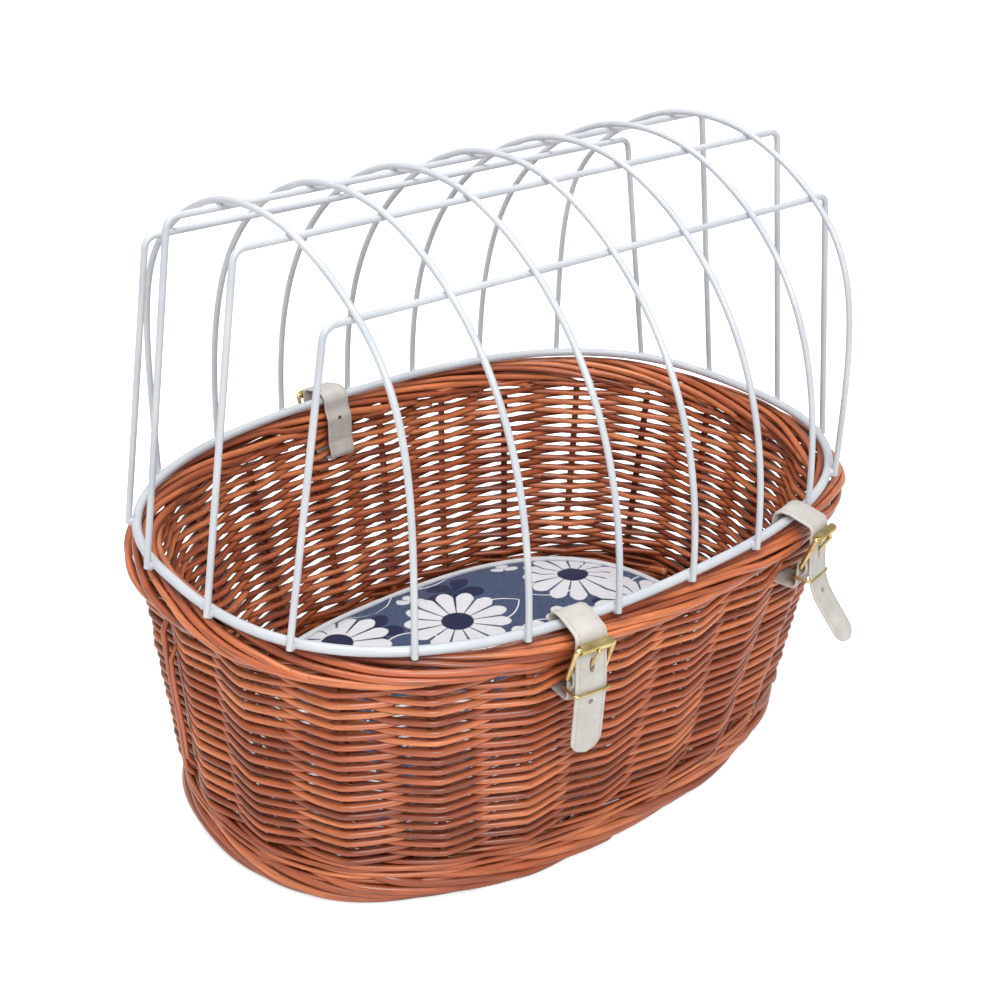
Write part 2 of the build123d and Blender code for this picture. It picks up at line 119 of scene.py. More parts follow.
def stake_table():
    """Angles round the basket and the number of stake spaces passed at each."""
    half = (FOOT_HALF + TOP_HALF) / 2
    first_y = -half[1] * (1 - (FIRST_STAKE_X / half[0]) ** OVAL_POWER) ** (1 / OVAL_POWER)
    first = atan2(first_y, FIRST_STAKE_X)
    angles = first + np.linspace(0, 2 * pi, OVAL_STEPS + 1)
    passed = distances(oval_point(half, angles))
    return angles, passed / passed[-1] * STAKES


TABLE_ANGLES, TABLE_TURNS = stake_table()


def around(turns, outward, height):
    """Points on the wall: turns in stake spaces, outward from the wall's middle."""
    turns, outward, height = np.broadcast_arrays(turns, outward, height)
    angle = np.interp(turns % STAKES, TABLE_TURNS, TABLE_ANGLES)
    part_way = np.clip((height - FOOT_TOP) / (WALL_TOP - FOOT_TOP), 0, 1)
    half = FOOT_HALF + (TOP_HALF - FOOT_HALF) * part_way[:, None]
    middle = oval_point(half, angle, FOOT_POWER + (OVAL_POWER - FOOT_POWER) * part_way)
    flat = middle + oval_normal(half, middle) * outward[:, None]
    return np.column_stack([flat, height])


def smooth_path(knots, samples):
    """Catmull-Rom curve through rows of knots, each row holding any numbers."""
    knots = np.asarray(knots, float)
    padded = np.vstack([2 * knots[0] - knots[1], knots, 2 * knots[-1] - knots[-2]])
    place = np.linspace(0, len(knots) - 1, samples)
    low = np.minimum(place.astype(int), len(knots) - 2)
    t = (place - low)[:, None]
    a, b, c, d = (padded[low + i] for i in range(4))
    bend = 2 * a - 5 * b + 4 * c - d
    turn = 3 * b - a - 3 * c + d
    return 0.5 * (2 * b + (c - a) * t + bend * t**2 + turn * t**3)


def tube_quads(rings, sides, downward=False):
    """Corners of a tube's skin, a row to a ring, and its quads, turned over if downward."""
    corner = np.arange(rings * sides).reshape(rings, sides)
    after = np.roll(corner, -1, axis=1)
    quads = np.stack([corner[:-1], after[:-1], after[1:], corner[1:]], axis=-1).reshape(-1, 4)
    if downward:
        quads = quads[:, [0, 3, 2, 1]]
    return corner, quads


def rod(points, radii, up=UP, tone=0.5):
    """One bent rod with eight sides, rounded off where it was cut. Its faces look inward."""
    points = np.asarray(points, float)
    radii = np.broadcast_to(radii, len(points))
    way = unit(np.gradient(points, axis=0))
    start = points[0] - way[0] * radii[0] * TIP_LENGTH
    stop = points[-1] + way[-1] * radii[-1] * TIP_LENGTH
    points = np.vstack([start, points, stop])
    radii = np.concatenate([[radii[0] * TIP_WIDTH], radii, [radii[-1] * TIP_WIDTH]])
    way = np.vstack([way[0], way, way[-1]])
    side = unit(np.cross(way, up))
    over = np.cross(side, way)
    turn = np.arange(SIDES) * 2 * pi / SIDES
    ring = np.cos(turn)[None, :, None] * side[:, None]
    ring = ring + np.sin(turn)[None, :, None] * over[:, None]
    skin = points[:, None] + ring * radii[:, None, None]
    grain = np.empty(skin.shape)
    grain[..., 0] = distances(points)[:, None] + tone * GRAIN_SHIFT
    grain[..., 1] = np.cos(turn)[None] * radii[:, None]
    grain[..., 2] = np.sin(turn)[None] * radii[:, None]
    corner, quads = tube_quads(len(points), SIDES)
    cap = np.array([[0, 1, 2, 7], [7, 2, 3, 6], [6, 3, 4, 5]])
    caps = np.vstack([cap[:, ::-1], cap + corner[-1, 0]])
    return {
        "points": skin.reshape(-1, 3),
        "faces": np.vstack([quads, caps]),
        "cut": np.arange(len(quads) + len(caps)) >= len(quads),
        "grain": grain.reshape(-1, 3),
        "tone": np.full(skin.shape[0] * SIDES, tone),
    }


def link(name, data):
    """Object that shows these data in the scene."""
    made = bpy.data.objects.new(name, data)
    scene.collection.objects.link(made)
    return made


def make_mesh(name, points, faces, materials, slots=None):
    """Smooth mesh object with its materials, from an array of points and face lists."""
    mesh = bpy.data.meshes.new(name)
    mesh.from_pydata(points.tolist(), [], faces)
    for material in materials:
        mesh.materials.append(material)
    if slots is not None:
        mesh.polygons.foreach_set("material_index", np.asarray(slots, np.int32))
    mesh.polygons.foreach_set("use_smooth", np.full(len(mesh.polygons), True))
    mesh.update()
    return link(name, mesh)


def put_together(lumps):
    """Points and face lists of many separate solids as one mesh."""
    first = np.cumsum([0] + [len(each["points"]) for each in lumps[:-1]])
    faces = np.vstack([each["faces"] + start for each, start in zip(lumps, first)])
    return np.vstack([each["points"] for each in lumps]), faces.tolist()


def rods_piece(name, rods, materials):
    """All rods of one band as one piece, with the values its material reads."""
    points, faces = put_together(rods)
    cut = np.concatenate([each["cut"] for each in rods])
    made = make_mesh(name, points, faces, materials, cut & (len(materials) > 1))
    tone = made.data.attributes.new("tone", "FLOAT", "POINT")
    tone.data.foreach_set("value", np.concatenate([each["tone"] for each in rods]))
    grain = made.data.attributes.new("grain", "FLOAT_VECTOR", "POINT")
    grain.data.foreach_set("vector", np.vstack([each["grain"] for each in rods]).ravel())
    return made


# ---- materials
# Noise scales are per metre. A rod's grain runs along it first, then across it.
# Painted shade: the willow's colour darkens towards a brown where ambient occlusion finds gaps between
# rods.
GAP_REACH = 9 * MM
GAP_SAMPLES = 4
WILLOW_DARK = (0.22, 0.040, 0.011)
WILLOW_MIDDLE = (0.47, 0.106, 0.031)
WILLOW_PALE = (0.73, 0.235, 0.084)
KNOT_BROWN = (0.07, 0.022, 0.01, 1)
GAP_SHADE_BROWN = (0.30, 0.18, 0.14)


class Graph:
    """Node graph of one material, built with short calls."""

    def __init__(self, name):
        self.material = bpy.data.materials.new(name)
        self.material.use_nodes = True
        self.tree = self.material.node_tree
        self.surface = self.tree.nodes["Principled BSDF"]

    def connect(self, socket, value):
        """Feeds an input from another node's output, or sets it."""
        if isinstance(value, bpy.types.NodeSocket):
            self.tree.links.new(value, socket)
        elif value is not None:
            socket.default_value = value

    def node(self, kind, *values, **settings):
        """A node with its settings made and its first inputs fed in order."""
        made = self.tree.nodes.new("ShaderNode" + kind)
        for key, value in settings.items():
            setattr(made, key, value)
        for socket, value in zip(made.inputs, values):
            self.connect(socket, value)
        return made

    def feed(self, made, **values):
        """Feeds a node's inputs by name, with _ for the spaces, and returns the node."""
        for key, value in values.items():
            self.connect(made.inputs[key.replace("_", " ")], value)
        return made

    def math(self, operation, *values):
        return self.node("Math", *values, operation=operation).outputs[0]

    def times(self, *values):
        return self.math("MULTIPLY", *values)

    def plus(self, *values):
        return self.math("ADD", *values)

    def minus(self, *values):
        return self.math("SUBTRACT", *values)

    def stretch(self, vector, scale):
        return self.node("VectorMath", vector, scale, operation="MULTIPLY").outputs[0]

    def noise(self, vector, scale, detail=2.0):
        made = self.node("TexNoise")
        return self.feed(made, Vector=vector, Scale=scale, Detail=detail).outputs[0]

    def ramp(self, value, *stops):
        """Colours, or greys, read off between stops of (place, colour)."""
        made = self.node("ValToRGB", value)
        while len(made.color_ramp.elements) < len(stops):
            made.color_ramp.elements.new(0.5)
        for element, (place, colour) in zip(made.color_ramp.elements, stops):
            element.position = place
            element.color = (*colour, 1) if isinstance(colour, tuple) else (colour,) * 3 + (1,)
        return made.outputs[0]

    def mix(self, share, first, second, blend="MIX"):
        return self.node("MixRGB", share, first, second, blend_type=blend).outputs[0]

    def attribute(self, name, output):
        return self.node("Attribute", attribute_name=name).outputs[output]

    def crevice(self, reach):
        """How open the surface is to its surroundings: low in gaps between rods."""
        made = self.node("AmbientOcclusion", samples=GAP_SAMPLES)
        return self.feed(made, Distance=reach).outputs["AO"]

    def place(self):
        return self.node("TexCoord").outputs["Object"]

    def bump(self, height, depth, strength=1.0):
        made = self.node("Bump")
        return self.feed(made, Height=height, Distance=depth, Strength=strength).outputs[0]

    def finish(self, **inputs):
        """Feeds the surface's inputs and returns the finished material."""
        self.feed(self.surface, **inputs)
        return self.material


def willow_material():
    """Varnished willow: one tone per rod, streaks along it, knots, a soft gloss and painted shade in
    the gaps between rods.
    """
    g = Graph("willow")
    tone = g.attribute("tone", "Fac")
    grain = g.attribute("grain", "Vector")
    patches = g.noise(g.stretch(grain, (14, 120, 120)), 1.0)
    streaks = g.noise(g.stretch(grain, (45, 620, 620)), 1.0, 5.0)
    knots = g.node("TexVoronoi", g.stretch(grain, (22, 160, 160))).outputs["Distance"]
    knot = g.ramp(knots, (0.05, 1.0), (0.13, 0.0))
    shade = g.plus(g.times(tone, 0.5), g.times(patches, 0.5))
    colour = g.ramp(shade, (0.22, WILLOW_DARK), (0.5, WILLOW_MIDDLE), (0.85, WILLOW_PALE))
    streaky = g.mix(0.75, colour, g.ramp(streaks, (0.32, 0.5), (0.62, 1.12)), "MULTIPLY")
    knotty = g.mix(knot, streaky, KNOT_BROWN)
    # Painted shade: colour multiplied darker by ambient occlusion in the gaps between rods.
    painted_gap_shade = g.ramp(g.crevice(GAP_REACH), (0.15, GAP_SHADE_BROWN), (0.85, 1.0))
    shaded_colour = g.mix(1.0, knotty, painted_gap_shade, "MULTIPLY")
    rough = g.ramp(streaks, (0.25, 0.30), (0.8, 0.5))
    height = g.minus(streaks, g.times(knot, 0.8))
    return g.finish(
        Base_Color=shaded_colour,
        Roughness=rough,
        Coat_Weight=0.4,
        Coat_Roughness=0.24,
        Normal=g.bump(height, 0.3 * MM, 0.7),
    )


def flecked_material(name, scale, dark, pale, roughness, depth):
    """Fine two-tone flecks, raised by their own pattern."""
    g = Graph(name)
    fleck = g.noise(g.place(), scale)
    return g.finish(
        Base_Color=g.ramp(fleck, dark, pale),
        Roughness=roughness,
        Normal=g.bump(fleck, depth),
    )


def cut_willow_material():
    """Pale cut ends of the rods, flecked by the pith."""
    dark = (0.35, (0.42, 0.22, 0.09))
    pale = (0.7, (0.70, 0.47, 0.25))
    return flecked_material("willow_cut", 1800.0, dark, pale, 0.75, 0.15 * MM)


def wire_material():
    """White powder coat with a fine orange-peel surface."""
    g = Graph("white_wire")
    place = g.place()
    peel = g.noise(place, 900.0)
    cloud = g.noise(place, 25.0)
    return g.finish(
        Base_Color=g.ramp(cloud, (0.3, (0.47, 0.50, 0.54)), (0.7, (0.56, 0.585, 0.61))),
        Roughness=g.ramp(peel, (0.3, 0.30), (0.7, 0.46)),
        Coat_Weight=0.2,
        Coat_Roughness=0.2,
        Normal=g.bump(peel, 0.06 * MM, 0.6),
    )


def leather_material():
    """Cream leather: pores, creases and slightly rubbed patches."""
    g = Graph("cream_leather")
    place = g.place()
    pores = g.feed(g.node("TexVoronoi", place), Scale=1300.0).outputs["Distance"]
    cloud = g.noise(place, 90.0, 5.0)
    crease = g.noise(g.stretch(place, (60, 60, 400)), 1.0, 3.0)
    colour = g.ramp(cloud, (0.3, (0.45, 0.425, 0.39)), (0.7, (0.54, 0.52, 0.49)))
    height = g.plus(g.times(pores, 0.7), crease)
    return g.finish(
        Base_Color=g.mix(0.35, colour, g.ramp(pores, (0.1, 0.8), (0.5, 1.0)), "MULTIPLY"),
        Roughness=g.ramp(cloud, (0.3, 0.48), (0.7, 0.64)),
        Normal=g.bump(height, 0.12 * MM, 0.8),
    )


def thread_material():
    """Waxed sewing thread, flecked by its twist."""
    dark = (0.3, (0.36, 0.32, 0.25))
    pale = (0.7, (0.56, 0.52, 0.43))
    return flecked_material("thread", 2500.0, dark, pale, 0.6, 0.1 * MM)


def brass_material():
    """Polished brass wire with light handling marks."""
    g = Graph("brass")
    place = g.place()
    marks = g.noise(place, 700.0, 6.0)
    stain = g.noise(place, 120.0, 3.0)
    return g.finish(
        Base_Color=g.ramp(stain, (0.3, (0.50, 0.36, 0.13)), (0.7, (0.78, 0.64, 0.32))),
        Metallic=1.0,
        Roughness=g.ramp(marks, (0.3, 0.24), (0.7, 0.32)),
        Normal=g.bump(marks, 0.004 * MM, 0.3),
    )


def piping_material():
    """Pale woven tape round a cord."""
    g = Graph("piping_tape")
    place = g.place()
    threads = g.node("TexWave", place, 900.0, 2.0).outputs["Fac"]
    fuzz = g.noise(place, 1400.0)
    height = g.plus(threads, fuzz)
    return g.finish(
        Base_Color=g.ramp(fuzz, (0.3, (0.55, 0.57, 0.60)), (0.7, (0.72, 0.74, 0.77))),
        Roughness=0.9,
        Sheen_Weight=0.3,
        Normal=g.bump(height, 0.15 * MM, 0.7),
    )


FLOWER_SCATTER = 0.45


def flower_cell(g, place, pitch, shift):
    """Distance and direction from the nearest scattered flower's centre, in metres."""
    flat = g.node("VectorMath", place, shift, operation="ADD").outputs[0]
    cells = g.node("TexVoronoi", voronoi_dimensions="2D")
    g.feed(cells, Vector=flat, Scale=1 / pitch, Randomness=FLOWER_SCATTER)
    from_centre = g.node("VectorMath", flat, cells.outputs["Position"], operation="SUBTRACT")
    away = g.node("SeparateXYZ", from_centre.outputs[0])
    across, along = away.outputs[0], away.outputs[1]
    squares = g.plus(g.math("POWER", across, 2.0), g.math("POWER", along, 2.0))
    reach = g.math("SQRT", squares)
    return across, along, reach, g.math("ARCTAN2", along, across)


def below(g, value, limit, soft):
    """One where a value is below a limit, zero above it, with a soft edge."""
    step = g.node("MapRange", value, None, None, 1.0, 0.0)
    low, high = g.minus(limit, soft), g.plus(limit, soft)
    return g.feed(step, From_Min=low, From_Max=high).outputs[0]


PETAL_FILL = 0.43
PETAL_GAP_EDGE = 0.02


def petals(g, cell, count, length, roundness):
    """Mask of a ring of long rounded petals with thin gaps between them."""
    reach, angle = cell[2], cell[3]
    turn = g.times(angle, count / (2 * pi))
    off_middle = g.math("ABSOLUTE", g.minus(g.math("FRACT", turn), 0.5))
    fall = g.times(g.math("POWER", off_middle, 2.0), roundness)
    tip = g.minus(1.0, fall)
    inside = below(g, reach, g.times(tip, length), 0.5 * MM)
    gap = below(g, off_middle, PETAL_FILL, PETAL_GAP_EDGE)
    return g.times(inside, gap)


def outline_leaf(g, cell, length, width, line):
    """Mask of a thin drawn line round a pointed leaf."""
    across, along = cell[0], cell[1]
    share = g.math("POWER", g.math("DIVIDE", across, length), 2.0)
    edge = g.times(g.minus(1.0, share), width)
    off_edge = g.math("ABSOLUTE", g.minus(g.math("ABSOLUTE", along), edge))
    drawn = below(g, off_edge, line, 0.2 * MM)
    return g.times(drawn, below(g, g.math("ABSOLUTE", across), length, 0.3 * MM))


DENIM_NAVY = (0.005, 0.010, 0.055, 1)


def printed_denim_material():
    """Blue denim printed with daisies, dark blossoms and drawn leaves."""
    g = Graph("printed_denim")
    place = g.place()
    fibres = g.noise(g.stretch(place, (2600, 260, 260)), 1.0, 3.0)
    cross = g.noise(g.stretch(place, (260, 2600, 260)), 1.0, 3.0)
    heather = g.times(g.plus(fibres, cross), 0.5)
    ground = g.ramp(heather, (0.35, (0.012, 0.024, 0.075)), (0.65, (0.085, 0.125, 0.23)))
    daisy = flower_cell(g, place, 96 * MM, (-0.013, 0.0344, 0))
    blossom = flower_cell(g, place, 84 * MM, (0.061, 0.085, 0))
    leaf = flower_cell(g, place, 66 * MM, (0.035, 0.007, 0))
    small = flower_cell(g, place, 75 * MM, (0.083, 0.052, 0))
    white = g.ramp(heather, (0.3, (0.62, 0.64, 0.68)), (0.7, (0.80, 0.81, 0.84)))
    drawn = outline_leaf(g, leaf, 26 * MM, 15 * MM, 0.7 * MM)
    printed = g.mix(petals(g, blossom, 5, 24 * MM, 2.4), ground, DENIM_NAVY)
    printed = g.mix(drawn, printed, white)
    printed = g.mix(petals(g, small, 3, 12 * MM, 2.8), printed, white)
    printed = g.mix(petals(g, daisy, 13, 41 * MM, 0.9), printed, white)
    printed = g.mix(below(g, daisy[2], 12.5 * MM, 0.4 * MM), printed, DENIM_NAVY)
    warp = g.node("TexWave", place, 560.0, 1.5, wave_type="BANDS", bands_direction="DIAGONAL")
    height = g.plus(heather, g.times(warp.outputs["Fac"], 0.6))
    return g.finish(
        Base_Color=printed,
        Roughness=0.92,
        Sheen_Weight=0.06,
        Sheen_Roughness=0.5,
        Normal=g.bump(height, 0.25 * MM, 0.8),
    )


def present(piece, body, finish, *nodes):
    """Lets a piece ride on a body and stand for its CAD nodes. The finish argument is not used."""
    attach(piece, body)
    if nodes:
        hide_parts(*nodes)


# ---- willow basket
rng = np.random.default_rng(SEED)
STRAP_NAMES = ("front_left", "front_right", "rear")
JOINTS = {joint["name"]: joint for joint in frame["joints"]}


def turns_at(x, y):
    """Stake spaces passed at the direction of a point, seen from the centre."""
    angle = atan2(y, x)
    while angle < TABLE_ANGLES[0]:
        angle += 2 * pi
    return float(np.interp(angle, TABLE_ANGLES, TABLE_TURNS))


STRAP_TURNS = [turns_at(*JOINTS[f"{name}_strap_open"]["pos_m"][:2]) for name in STRAP_NAMES]
SLOT_HEIGHT = 157 * MM
SLOT_OPENING = 2.0 * MM
SLOT_HALF_TURNS = 0.30
SLOT_FADE = 14 * MM


def spread_at_slots(turns, height):
    """How far a weaver is pushed up or down to let the straps through."""
    push = np.zeros(len(turns))
    for place in STRAP_TURNS:
        off = (turns - place + STAKES / 2) % STAKES - STAKES / 2
        near = np.exp(-((off / SLOT_HALF_TURNS) ** 4))
        fade = np.exp(-np.abs(height - SLOT_HEIGHT) / SLOT_FADE)
        push += near * fade * np.sign(height - SLOT_HEIGHT) * SLOT_OPENING
    return push


LEAN = 0.028
SLOW_SAG = 0.55 * MM
QUICK_SAG = 0.3 * MM


def ripple(turns, waves, shift):
    """Even waves all the way round the basket."""
    return np.sin(turns * 2 * pi * waves / STAKES + shift)


def lean(turns, height):
    """Stakes stand a little unevenly, and every rod follows them."""
    slow = ripple(turns, 3, 1.0)
    quick = ripple(turns, 7, height * 18)
    return LEAN * (slow + quick)


def sag(turns, height):
    """Slow rise and fall of the rows round the basket."""
    slow = ripple(turns, 2, height * 20)
    quick = ripple(turns, 5, 2.0 - height * 45)
    return SLOW_SAG * slow + QUICK_SAG * quick


BEND_SHARPNESS = 0.997
ROUND_SHARE = 0.1
STRAIGHT_SHARE = 0.95


def in_and_out(phase):
    """Weaver's swing past the stakes: nearly straight between them, bent at them."""
    wave = np.cos(pi * phase)
    zigzag = 2 * np.arcsin(wave * BEND_SHARPNESS) / pi
    return ROUND_SHARE * wave + STRAIGHT_SHARE * zigzag


WEAVE_TOP = 182 * MM
ROW_PITCH = 3.9 * MM
WEAVER_BUTT = 2.45 * MM
WEAVER_TAPER = 1.3
WEAVER_SPREAD = 0.05
SHORTEST_WEAVER = 9
LONGEST_WEAVER = 15
STEPS_PER_STAKE = 16
LAP = 7 / 16
LAP_TUCK = 0.8 * MM
ROW_UNEVENNESS = 0.22 * MM


def make_side_weave(materials):
    """One spiral of tapered weavers laid end to end, in front of and behind the stakes."""
    rods = []
    turns_in_all = (WEAVE_TOP - WALL_BOTTOM) / ROW_PITCH * STAKES
    start = 0.0
    while start < turns_in_all:
        pairs = rng.integers(SHORTEST_WEAVER, LONGEST_WEAVER)
        length = min(pairs * 2.0, turns_in_all - start)
        steps = int((length + 2 * LAP) * STEPS_PER_STAKE) + 1
        turns = start - LAP + np.arange(steps) / STEPS_PER_STAKE
        height = WALL_BOTTOM + ROW_PITCH / 2 + turns / STAKES * ROW_PITCH
        share = np.linspace(0, 1, steps)
        radii = WEAVER_BUTT + (WEAVER_TIP - WEAVER_BUTT) * share**WEAVER_TAPER
        radii = radii * (1 + WEAVER_SPREAD * rng.standard_normal())
        swing = (STAKE_RADIUS + SWING_SLACK + radii) * -in_and_out(turns)
        tucked = np.minimum(share, 1 - share) * (length + 2 * LAP) < LAP
        swing = np.where(tucked, swing - LAP_TUCK, swing)
        height = height + sag(turns, height) + spread_at_slots(turns % STAKES, height)
        spots = np.arange(turns[0], turns[-1] + 3)
        uneven = np.interp(turns, spots, rng.standard_normal(len(spots)))
        height = height + ROW_UNEVENNESS * uneven
        points = around(turns + lean(turns, height), swing, height)
        rods.append(rod(points, radii, tone=rng.random()))
        start += length
    return rods_piece("woven_side", rods, materials)


# Outward from the wall's middle and height, in millimetres.
STAKE_KNOTS = [
    (-42, 9), (-22, 9), (-6, 8.5), (-0.8, 14), (0, 24), (0, 60), (0, 110), (0, 150), (-0.5, 172),
]
STAKE_STEPS = 70


def make_stakes(materials):
    """Upright stakes, bent out from under the base."""
    rods = []
    for stake in range(STAKES):
        path = smooth_path(np.array(STAKE_KNOTS) * MM, STAKE_STEPS)
        turns = stake + lean(np.full(STAKE_STEPS, float(stake)), path[:, 1])
        points = around(turns, path[:, 0], path[:, 1])
        radii = STAKE_RADIUS * np.linspace(1.06, 0.94, STAKE_STEPS)
        rods.append(rod(points, radii, up=OFF_UPRIGHT, tone=rng.random()))
    return rods_piece("upright_stakes", rods, materials)


# Place in stake spaces, then radius, lower and upper end in millimetres.
OUTSIDE_RODS = ((16.57, 1.9, 40, 164), (16.68, 1.4, 52, 146))
OUTSIDE_STEPS = 40
OUTSIDE_STRAY = 0.04
OUTSIDE_SUNK = 2.2 * MM
OUTSIDE_TUCK = 5 * MM
OUTSIDE_TUCK_LENGTH = 9 * MM


def make_outside_rods(materials):
    """Rods that were added outside the finished weave, near its front left corner."""
    rods = []
    for turns, radius, low, high in OUTSIDE_RODS:
        height = np.linspace(low, high, OUTSIDE_STEPS) * MM
        spots = height[::13]
        stray = np.interp(height, spots, OUTSIDE_STRAY * rng.standard_normal(len(spots)))
        outward = 2 * STAKE_RADIUS + SWING_SLACK + 2 * WEAVER_TIP - OUTSIDE_SUNK
        to_end = np.minimum(height - height[0], height[-1] - height)
        tuck = OUTSIDE_TUCK * np.clip(1 - to_end / OUTSIDE_TUCK_LENGTH, 0, 1)
        points = around(turns + stray, outward - tuck, height)
        rods.append(rod(points, radius * MM, up=OFF_UPRIGHT, tone=0.6))
    return rods_piece("outside_rods", rods, materials)


BAND_STEPS_PER_STAKE = 19.2
BAND_WANDER = np.array([0.12, 0.7 * MM, 0.5 * MM])
BAND_SPREAD = 0.07


def band_rods(knots, how_many, radius, spread):
    """Paths, radii and tones of rods that run alike, started at even steps all round."""
    rods = []
    knots = np.asarray(knots, float) * np.array([1, MM, MM])
    for start in np.arange(how_many) * STAKES / how_many:
        count = int((knots[-1, 0] - knots[0, 0]) * BAND_STEPS_PER_STAKE)
        wander = BAND_WANDER * spread * rng.standard_normal(knots.shape)
        wander[0] = wander[-1] = 0
        path = smooth_path(knots + wander, count)
        size = 1 + BAND_SPREAD * rng.standard_normal()
        radii = radius * size * np.linspace(1.08, 0.86, count)
        turns = start + path[:, 0]
        rods.append((turns, path[:, 1], path[:, 2], radii, rng.random()))
    return rods


def facing(turns):
    """Level directions from the basket's centre to places round it."""
    angle = np.interp(turns % STAKES, TABLE_TURNS, TABLE_ANGLES)
    return np.column_stack([np.cos(angle), np.sin(angle)])


END_SWELL_POWER = 6


def end_swell(turns):
    """One at the basket's two ends, falling to zero along its sides."""
    return np.abs(facing(turns)[:, 0]) ** END_SWELL_POWER


# Knots of a border rod: stake spaces gone, then outward and height in millimetres.
BORDER_KNOTS = [
    (-0.2, -2.0, 174), (0.0, -2.8, 177.5), (0.18, -3.8, 180.5), (0.5, -5.4, 183.6), (1.1, -5.0, 187.4),
    (1.8, -1.6, 191.4), (2.6, 4.6, 192.6), (3.4, 9.4, 190.6), (4.1, 11.8, 187.2), (4.7, 10.6, 184.2),
    (5.2, 6.4, 183.2), (5.7, 1.5, 184.0),
]
BORDER_ROD = 2.6 * MM
BORDER_RODS = 31
RIGHT_BULGE = 10 * MM
LEFT_BULGE = 3 * MM
BULGE_FROM = 3 * MM
BULGE_OVER = 9 * MM
LEAST_BULGE = 0.3
BULGE_SPREAD = 1.2
BORDER_LOOSENESS = 0.8
SIDE_TUCK = 1.6 * MM
END_DROP = 9 * MM


def make_top_border(materials):
    """Rolled border: each stake's rods run inside, roll over the top and down outside."""
    rods = []
    paths = band_rods(BORDER_KNOTS, BORDER_RODS, BORDER_ROD, BORDER_LOOSENESS)
    for turns, outward, height, radii, tone in paths:
        low_outside = np.clip((outward - BULGE_FROM) / BULGE_OVER, 0, 1)
        swell = end_swell(turns)
        right = facing(turns)[:, 0] > 0
        bulge = np.where(right, RIGHT_BULGE, LEFT_BULGE) * swell - SIDE_TUCK * (1 - swell)
        outward = outward + bulge * low_outside * (LEAST_BULGE + BULGE_SPREAD * rng.random())
        height = height - END_DROP * swell * low_outside * rng.random()
        rods.append(rod(around(turns, outward, height), radii, tone=tone))
    return rods_piece("plaited_border", rods, materials)


FOOT_KNOTS = [
    (-0.3, -2, 25), (0.05, 2.8, 21.5), (0.5, 5.8, 16), (1.2, 6.2, 10.4), (1.9, 5.0, 6.0),
    (2.5, 1.5, 3.6), (3.0, -5, 3.2), (3.3, -11, 4.2),
]
FOOT_ROD = 3.2 * MM
FOOT_RODS = 31
FOOT_LOOSENESS = 0.9


def make_foot_border(materials):
    """Rolled foot border: heavy rods run out, down and under the base."""
    rods = []
    paths = band_rods(FOOT_KNOTS, FOOT_RODS, FOOT_ROD, FOOT_LOOSENESS)
    for turns, outward, height, radii, tone in paths:
        height = np.maximum(height, radii)
        rods.append(rod(around(turns, outward, height), radii, tone=tone))
    return rods_piece("rolled_foot", rods, materials)


WALE_ROWS = 3
WALE_STRANDS = 3
WALE_ROD = 1.75 * MM
WALE_PITCH = 6 * MM
WALE_START = 4.5 * MM
WALE_STEPS_PER_STAKE = 14
STRAND_RISE = 0.3 * MM
WALE_PROUD = 0.8 * MM
# A strand by stake spaces gone: 1 outside to -1 inside, and 1 high to -1 low.
WALE_KEYS = (0.0, 1.0, 1.5, 2.0, 2.5, 3.0)
WALE_OUT = (1.0, 1.0, 0.35, -1.0, 0.35, 1.0)
WALE_RISE = (0.55, -0.55, -0.9, 0.0, 0.9, 0.55)


def make_bottom_wale(materials):
    """Three-rod wale: each rod passes two stakes outside and one inside."""
    rods = []
    steps = STAKES * WALE_STEPS_PER_STAKE
    for row in range(WALE_ROWS):
        for strand in range(WALE_STRANDS):
            turns = np.linspace(0.2, STAKES + 0.4, steps) + strand
            phase = (turns - strand) % WALE_STRANDS
            out = np.interp(phase, WALE_KEYS, WALE_OUT) * (STAKE_RADIUS + WALE_ROD)
            rise = np.interp(phase, WALE_KEYS, WALE_RISE) * WALE_PITCH / 2
            height = FOOT_TOP + WALE_START + row * WALE_PITCH + rise + strand * STRAND_RISE
            path = np.column_stack([out, height])
            for _ in range(3):
                path[1:-1] = (path[:-2] + 2 * path[1:-1] + path[2:]) / 4
            radii = WALE_ROD * (1 + 0.12 * np.sin(turns * 0.9 + row + strand))
            outward = path[:, 0] + WALE_PROUD
            points = around(turns + lean(turns, path[:, 1]), outward, path[:, 1])
            rods.append(rod(points, radii, tone=rng.random()))
    return rods_piece("waled_foot", rods, materials)


BASE_MIDDLE = 9.5 * MM
BASE_ROD = 1.6 * MM
BASE_PITCH = 4.4 * MM
BASE_WAVE = 3.4 * MM
CROSS_PITCH = 44 * MM
CROSS_STICK = 2.6 * MM
CROSS_STEPS = 30
LONG_STICK = 1.9 * MM
LONG_STEPS = 60


def make_base(materials):
    """Woven base: rounds of thin rods over and under the cross sticks."""
    rods = []
    outer = FOOT_HALF - 9 * MM
    rounds = int(outer[1] / BASE_PITCH)
    for number in range(rounds):
        half = outer - number * BASE_PITCH
        steps = max(int(4 * (half[0] + half[1]) / (5 * MM)), 24)
        angle = np.linspace(0, 2 * pi, steps) + number
        flat = oval_point(half, angle, FOOT_POWER)
        wave = np.cos(flat[:, 0] * pi / CROSS_PITCH + number * pi)
        along_side = 1 - np.abs(oval_normal(half, flat)[:, 0]) ** 2
        height = BASE_MIDDLE + BASE_WAVE * wave * along_side
        points = np.column_stack([flat, height])
        radius = BASE_ROD * (1 + 0.08 * rng.standard_normal())
        rods.append(rod(points, radius, tone=rng.random()))
    return rods_piece("woven_base", rods, materials)


